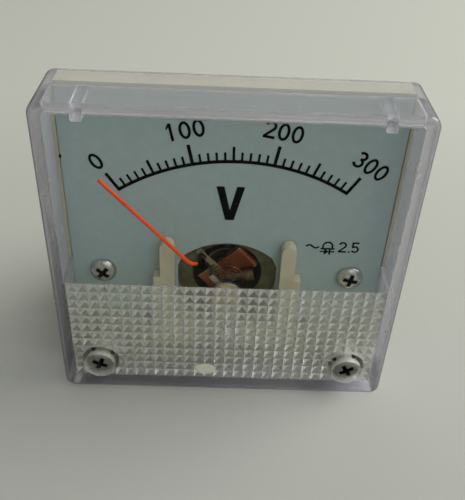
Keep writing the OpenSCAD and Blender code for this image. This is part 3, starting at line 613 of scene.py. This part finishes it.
# %% [markdown]
# ## Coil wire
# The coil is wound from fine lacquered wire, so its faces show close parallel lines. Modelling a
# few hundred turns would cost far more than it shows. A wave pattern gives them instead, turned
# by 45 degrees, since that is how the coil stands at rest, and it both colours and embosses the
# surface.

# %% Coil wire
copper = finish("coil_wire", (178, 92, 50), 0.3, 0.5, Coat_Weight=0.5)
winding = noise(copper, 1150, 1.0, kind="ShaderNodeTexWave")
winding.node.bands_direction = "X"
winding.node.inputs["Distortion"].default_value = 0.6
winding.node.inputs["Detail Scale"].default_value = 2.0
lay = winding.node.inputs["Vector"].links[0].from_node
lay.inputs["Rotation"].default_value = (0, math.radians(-45), 0)
vary(copper, winding, (122, 52, 26), (206, 118, 68), low_at=0.1, high_at=0.9)
emboss(copper, winding, 0.7, 0.05)

# %% Soften the solids
def softened(node, width):
    """A copy of a solid with its sharp edges rounded, as moulding or tumbling leaves them."""
    piece = bpy.data.objects.new(node + "_finished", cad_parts[node].data.copy())
    bpy.context.scene.collection.objects.link(piece)
    hold(piece)
    bpy.ops.object.mode_set(mode="EDIT")
    bpy.ops.mesh.select_all(action="SELECT")
    bpy.ops.mesh.remove_doubles(threshold=0.002 * MM)
    bpy.ops.mesh.dissolve_limited(angle_limit=math.radians(0.5))
    bpy.ops.object.mode_set(mode="OBJECT")
    step = piece.modifiers.new("edges", "BEVEL")
    step.width, step.segments = width * MM, 2
    step.limit_method, step.angle_limit = "ANGLE", math.radians(40)
    bpy.ops.object.modifier_apply(modifier=step.name)
    return smooth(piece)


for node, width, body, slot, look in (
        ("rear_case", 0.2, "case", "cream_plastic", cream),
        ("dial_plate", 0.08, "case", "dial_paint", dial_paint),
        ("movement_frame", 0.25, "case", "frame_plastic", frame_cream),
        ("yoke_ring", 0.15, "case", "yoke_iron", iron),
        ("front_bridge", 0.12, "case", "bridge_metal", bridge_plate),
        ("zero_lever", 0.06, "zero_lever", "lever_metal", lever_sheet),
        ("balance_cross", 0.05, "moving_element", "cross_aluminium", bare_aluminium),
        ("coil_winding", 0.12, "moving_element", "winding_copper", copper),
        ("terminal_nuts", 0.2, "case", "terminal_brass", brass),
        ("terminal_washers", 0.1, "case", "washer_steel", zinc),
        ("lock_washers", 0.08, "case", "washer_steel", zinc)):
    fit(softened(node, width), body, slot, look, node)

# %% [markdown]
# ## Pointer
# The pointer is a thin tube, painted from its bend outwards. It leaves its arm behind the dial,
# bends forward through the window and runs straight out over the scale. A cylinder can't follow
# the bend, so a curve with a round section does, and a curve also thins out towards its tip by
# itself.

# %% Bent wire
def tube(name, points, radius, taper):
    """A round wire through the points that thins to a share of its radius at the far end."""
    path = bpy.data.curves.new(name, "CURVE")
    path.dimensions = "3D"
    path.bevel_depth, path.bevel_resolution, path.use_fill_caps = radius * MM, 4, True
    line = path.splines.new("POLY")
    line.points.add(len(points) - 1)
    reach = (points[-1] - points[0]).length
    for point, place in zip(line.points, points):
        point.co = (*(place * MM), 1)
        point.radius = 1 - (1 - taper) * (place - points[0]).length / reach
    piece = bpy.data.objects.new(name, path)
    bpy.context.scene.collection.objects.link(piece)
    hold(piece)
    bpy.ops.object.convert(target="MESH")
    return smooth(bpy.context.object, 50)


def eased(corners, reach, steps=6):
    """A line with its inner corners rounded off over a reach on each side."""
    line = [corners[0]]
    for a, b, c in zip(corners, corners[1:], corners[2:]):
        start, end = b + (a - b).normalized() * reach, b + (c - b).normalized() * reach
        for share in [i / steps for i in range(steps + 1)]:
            line.append(start.lerp(b, share).lerp(b.lerp(end, share), share))
    return line + [corners[-1]]


# %% Pointer
pointer_red = mottled(
    "pointer_red", (255, 82, 24), (250, 72, 18), (255, 94, 34), 0.4, 0.0, 900,
    Specular_IOR_Level=0.3)
# Behind the bend the wire is bare metal. Its dark brown tone is painted shade, because that
# stretch lies in shadow.
bare_wire_painted_shade = mottled("bare_wire_painted_shade", (74, 52, 34), (58, 40, 26), (92, 66, 44), 0.4, 0.8, 1200)

rest_angle = math.radians(132)
outwards = Vector((math.cos(rest_angle), 0, math.sin(rest_angle)))
wire_radius, tip_share, bend_reach, tip = 0.375, 0.88, 1.1, 34.4
pointer_low, pointer_high = span("pointer")
arm_y, over_dial_y = pointer_high.y - wire_radius, pointer_low.y + wire_radius
route = [(6.6, arm_y), (8.2, arm_y), (8.7, over_dial_y + 1.9), (10.7, over_dial_y),
         (tip, over_dial_y)]                           # distance from the pivot, and y
corners = [pivot + outwards * distance + Vector((0, y, 0)) for distance, y in route]
pointer = tube("pointer_finished", eased(corners, bend_reach), wire_radius, tip_share)
fit(pointer, "moving_element", "pointer_paint", pointer_red, "pointer")
pointer.data.materials.append(bare_wire_painted_shade)
# Faces behind the end of the paint take the bare wire with its painted shade.
paint_end_y = over_dial_y + 1.7
for face in pointer.data.polygons:
    face.material_index = int(face.center.y / MM > paint_end_y)

# %% [markdown]
# ## Hairspring
# The front hairspring is a bronze ribbon that winds from the staff out to the zero lever. Its
# inner end turns with the staff and its outer end stays, so the real spring bends between them.
# The curve is drawn flat and then stood up, in its rest shape, and it rises a little from one end
# to the other.

# %% Hairspring ribbon
bronze = mottled(
    "spring_bronze", (196, 120, 78), (176, 102, 62), (214, 140, 96), 0.28, 1.0, 1200)

inner_radius, outer_radius, spiral_turns, spiral_steps = 1.02, 4.4, 4.5, 150
outer_angle = math.radians(128)
ribbon_half, ribbon_thick, rise = 0.14, 0.05, 0.55
ribbon = bpy.data.curves.new("front_hairspring_finished", "CURVE")
ribbon.dimensions, ribbon.twist_mode, ribbon.use_fill_caps = "3D", "Z_UP", True
ribbon.extrude, ribbon.bevel_resolution = ribbon_half * MM, 0
ribbon.bevel_depth = ribbon_thick / 2 * MM
line = ribbon.splines.new("POLY")
line.points.add(spiral_steps)
for i, point in enumerate(line.points):
    share = i / spiral_steps
    radius = (inner_radius + (outer_radius - inner_radius) * share) * MM
    angle = outer_angle + (share - 1) * spiral_turns * 2 * math.pi
    point.co = (radius * math.cos(angle), radius * math.sin(angle), rise * (share - 0.5) * MM, 1)

# %% Hairspring in place
spring_low, spring_high = span("front_hairspring")
spring_y = (spring_low.y + spring_high.y) / 2
spiral = bpy.data.objects.new("front_hairspring_finished", ribbon)
bpy.context.scene.collection.objects.link(spiral)
hold(spiral)
bpy.ops.object.convert(target="MESH")
spiral = bpy.context.object
spiral.rotation_euler = (math.pi / 2, 0, 0)
spiral.location = (0, spring_y * MM, pivot.z * MM)
bpy.ops.object.transform_apply(location=True, rotation=True, scale=True)
smooth(spiral, 50)
spiral.data.materials.append(bronze)
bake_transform(spiral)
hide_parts("front_hairspring")
print("hairspring", len(spiral.data.polygons), "faces")

# %% [markdown]
# ## Terminals and mounting studs
# Behind the panel the meter shows two brass terminals and four steel studs. They are bars turned
# on a lathe, so the turning helper fits them too: a collar, a plain neck, thread grooves and a
# bevelled end, all in one profile.

# %% Terminal studs
neck, collar, edge = 1.75, 3.5, 0.2
crest, groove, pitch = 2, 0.28, 0.7
case_back = 2.0                                        # thickness of the case's back wall
board_y, wall_y = span("circuit_board")[1].y, case_high.y - case_back
nut_top = span("terminal_nuts")[1].y + 0.1
for node in ("terminal_stud_left", "terminal_stud_right"):
    low, high = span(node)
    profile = [(1.4, low.y), (neck, low.y + 0.4), (neck, board_y),
               (collar - edge, board_y), (collar, board_y + edge),
               (collar, wall_y - edge), (collar - edge, wall_y), (neck, wall_y), (neck, nut_top)]
    profile += ring_thread(crest, groove, pitch, nut_top + 0.1, high.y - 0.5) + [(1.3, high.y)]
    stud = turned(node + "_finished", profile, *axis_of(node))
    fit(smooth(stud, 40), "case", "terminal_brass", brass, node)

# %% Mounting studs
def join(first, *others):
    """Several solids become one piece, under the first one's name."""
    hold(first)
    for other in others:
        other.select_set(True)
    bpy.ops.object.join()
    return first


low, high = span("mounting_studs")
flange, flange_back, shoulder, shank = 2.8, low.y + 1.4, 1.9, 1.5
profile = [(flange - edge, low.y), (flange, low.y + edge), (flange, flange_back),
           (shoulder, flange_back), (shoulder, 0), (shank, 0)]
profile += ring_thread(shank, thread_depth, thread_pitch, 0.2, high.y - 0.4) + [(1.0, high.y)]
studs = [turned("mounting_studs_finished", profile, x, z, 32)
         for x in (low.x + flange, high.x - flange) for z in (low.z + flange, high.z - flange)]
fit(smooth(join(*studs), 40), "case", "washer_steel", zinc, "mounting_studs")

# %% [markdown]
# ## Marks of making
# The cover keeps a pale scuffed spot where its moulding gate was cut off, low on the face, and a
# dark speck is caught at the dial's left edge. Paint on the material could show them, but a scar
# stands a little proud. So each is a thin lens of its own, and noise makes the scar's edge
# ragged.

# %% Gate scar
scar_place, scar_size, ragged = (-3.8, face_y - 0.02, -25.3), (2.2, 0.09, 1.45), 0.7
bpy.ops.object.select_all(action="DESELECT")
bpy.ops.mesh.primitive_uv_sphere_add(
    segments=28, ring_count=12, radius=1, location=[v * MM for v in scar_place])
bpy.context.object.scale = [v * MM for v in scar_size]
scar = settle("gate_scar")
scar_grain = bpy.data.textures.new("scar_grain", "CLOUDS")
scar_grain.noise_scale = 0.9 * MM
rough_edge = scar.modifiers.new("rough", "DISPLACE")
rough_edge.texture, rough_edge.texture_coords = scar_grain, "LOCAL"
rough_edge.strength, rough_edge.direction = ragged * MM, "X"
bpy.ops.object.modifier_apply(modifier=rough_edge.name)
scuffed = mottled(
    "scuffed_styrene", (236, 237, 216), (222, 223, 202), (246, 246, 230), 0.8, 0.0, 1400, 4)
emboss(scuffed, noise(scuffed, 3000, 3), 0.5, 0.04)
fit(smooth(scar), "case", "clear_cover", scuffed)

# %% Speck on the dial
ink = mottled("dial_ink", (8, 9, 10), (4, 5, 6), (11, 12, 13), 0.6, 0.0, 1500,
              Specular_IOR_Level=0.0)
speck_place, speck_size = (dial_corner.x - 0.05, dial_y - 0.05, 17), (0.3, 0.12, 0.45)
bpy.ops.object.select_all(action="DESELECT")
bpy.ops.mesh.primitive_ico_sphere_add(
    subdivisions=3, radius=1, location=[v * MM for v in speck_place])
bpy.context.object.scale = [v * MM for v in speck_size]
fit(smooth(settle("dial_speck")), "case", "dial_ink", ink)

# %% [markdown]
# ## Solids that keep their shape
# The print on the dial, the magnet, the bearings and the parts on the circuit board are right as
# they are, and most of them lie in shade. Modelling them again would add nothing, so each solid
# stays and only gets the finish of its own metal, lacquer or ink.

# %% Metals in the shade
magnet_alloy = mottled("magnet_alloy", (44, 42, 38), (32, 31, 28), (56, 54, 49), 0.5, 0.6, 900, 5)
cage_sheet = mottled(
    "cage_sheet", (150, 150, 148), (128, 128, 126), (165, 165, 162), 0.4, 1.0, 800)
weight_metal = mottled(
    "weight_metal", (112, 92, 66), (96, 76, 54), (126, 106, 80), 0.45, 1.0, 900)
staff_steel = mottled(
    "staff_steel", (180, 182, 184), (160, 162, 164), (196, 198, 200), 0.22, 1.0, 1500)
former_foil = mottled(
    "former_foil", (210, 170, 150), (190, 150, 128), (222, 190, 172), 0.3, 1.0, 900)

# %% Circuit board
board_paper = mottled(
    "board_paper", (172, 132, 74), (158, 120, 66), (184, 144, 84), 0.6, 0.0, 300, 6)
resistor_lacquer = mottled(
    "resistor_lacquer", (98, 138, 160), (90, 130, 152), (106, 146, 168), 0.3, 0.0, 600)
diode_epoxy = mottled("diode_epoxy", (26, 26, 27), (20, 20, 21), (36, 36, 37), 0.5, 0.0, 900)

# %% Finishes on the solids
for made, solids in (
        (ink, ("dial_scale", "dial_figures", "dial_letter", "dial_symbols")),
        (screw_plate, ("front_bridge_screw", "rear_bridge_screws")),
        (brass, ("front_jewel_screw", "front_jewel_nut", "rear_jewel_screw", "rear_jewel_nut",
                 "board_nuts")),
        (staff_steel, ("front_pivot", "rear_pivot")), (weight_metal, ("balance_weights",)),
        (cage_sheet, ("core_cage",)), (magnet_alloy, ("core_magnet",)),
        (bridge_plate, ("rear_bridge",)), (bronze, ("rear_hairspring",)),
        (former_foil, ("coil_former",)), (board_paper, ("circuit_board",)),
        (resistor_lacquer, ("series_resistor",)), (diode_epoxy, ("rectifier_diodes",))):
    for node in solids:
        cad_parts[node].material_slots[0].material = made
print("finished solids", sum(not o.hide_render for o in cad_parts.values()))

# %% [markdown]
# ## Table
# The meter stands on a plain pale table that gets a little darker towards the viewer, a painted
# shade for light that falls off towards the front. The slopes of the pyramids mirror the room in
# front of the table, which is darker than the table itself. Building a room would be heavy, so
# the table's shader answers mirrored rays with a dark glow, a painted reflection of that room.

# %% Table top
table_z = cover_low.z - 0.15
dark_at, pale_at = -0.07, 0.13                         # metres in front of the meter and behind
bpy.ops.object.select_all(action="DESELECT")
bpy.ops.mesh.primitive_plane_add(size=5, location=(0, 0, table_z * MM))
table = settle("table")
table_top = finish("table_top", (206, 207, 200), 0.6)
nodes, links = table_top.node_tree.nodes, table_top.node_tree.links
where = nodes.new("ShaderNodeSeparateXYZ")
links.new(nodes.new("ShaderNodeTexCoord").outputs["Object"], where.inputs[0])
# Painted shade: the table's colour darkens towards the viewer, where the light falls off.
depth = nodes.new("ShaderNodeMapRange")
depth.inputs["From Min"].default_value = dark_at
depth.inputs["From Max"].default_value = pale_at
links.new(where.outputs["Y"], depth.inputs["Value"])
vary(table_top, depth.outputs[0], (182, 183, 178), (212, 213, 204), low_at=0, high_at=1)

# %% Painted reflection of a dark room
path = nodes.new("ShaderNodeLightPath")
mirrored = nodes.new("ShaderNodeMath")
mirrored.operation = "MULTIPLY"
links.new(path.outputs["Is Glossy Ray"], mirrored.inputs[0])
links.new(path.outputs["Is Reflection Ray"], mirrored.inputs[1])
# A dark glow only on mirrored rays: a painted reflection of a room that isn't built.
painted_room_reflection = nodes.new("ShaderNodeEmission")
painted_room_reflection.inputs["Color"].default_value = tone(60, 61, 60)
choose = nodes.new("ShaderNodeMixShader")
links.new(mirrored.outputs[0], choose.inputs["Fac"])
links.new(nodes["Principled BSDF"].outputs[0], choose.inputs[1])
links.new(painted_room_reflection.outputs[0], choose.inputs[2])
links.new(choose.outputs[0], nodes["Material Output"].inputs["Surface"])
table.data.materials.append(table_top)
print("table at", round(table_z, 2))

# %% [markdown]
# ## Light and camera
# A large lamp hangs over the meter, a little behind it and to the right, and a weaker one fills
# in from the front. The plain world lifts the shadows. The camera looks down on the face from
# close by, so its place and its two directions are given in full.

# %% Lamps and room
def lamp(name, place, size, watts, colour):
    """A square lamp that looks at the meter from a place in metres."""
    light = bpy.data.lights.new(name, "AREA")
    light.size, light.energy, light.color = size, watts, colour
    holder = bpy.data.objects.new(name, light)
    bpy.context.scene.collection.objects.link(holder)
    holder.location = place
    holder.rotation_euler = (-Vector(place)).to_track_quat("-Z", "Y").to_euler()


lamp("overhead", (0.75, 0.22, 0.78), 0.8, 9.2, (1.0, 0.995, 0.96))
lamp("front_fill", (0.34, -0.6, 0.5), 0.8, 1.05, (0.97, 0.985, 1.0))
world = bpy.data.worlds.new("room")
bpy.context.scene.world = world
world.use_nodes = True
background = world.node_tree.nodes["Background"]
background.inputs["Color"].default_value = tone(226, 228, 222)
background.inputs["Strength"].default_value = 0.36

# %% Camera
viewpoint = Vector((-0.00207, -0.11074, 0.07666))
looking = Vector((0.02216, 0.80246, -0.59630))
upward = Vector((-0.03304, 0.59671, 0.80178))
sideways = looking.cross(upward)
lens = bpy.data.cameras.new("camera")
lens.lens, lens.sensor_width = 48.94, 36
lens.clip_start = 0.005
camera = bpy.data.objects.new("camera", lens)
bpy.context.scene.collection.objects.link(camera)
camera.matrix_world = Matrix.Translation(viewpoint) @ Matrix(
    (sideways, upward, -looking)).transposed().to_4x4()
bpy.context.scene.camera = camera
bpy.context.scene.view_settings.view_transform = "Standard"
print("camera", [round(v / MM, 1) for v in viewpoint])
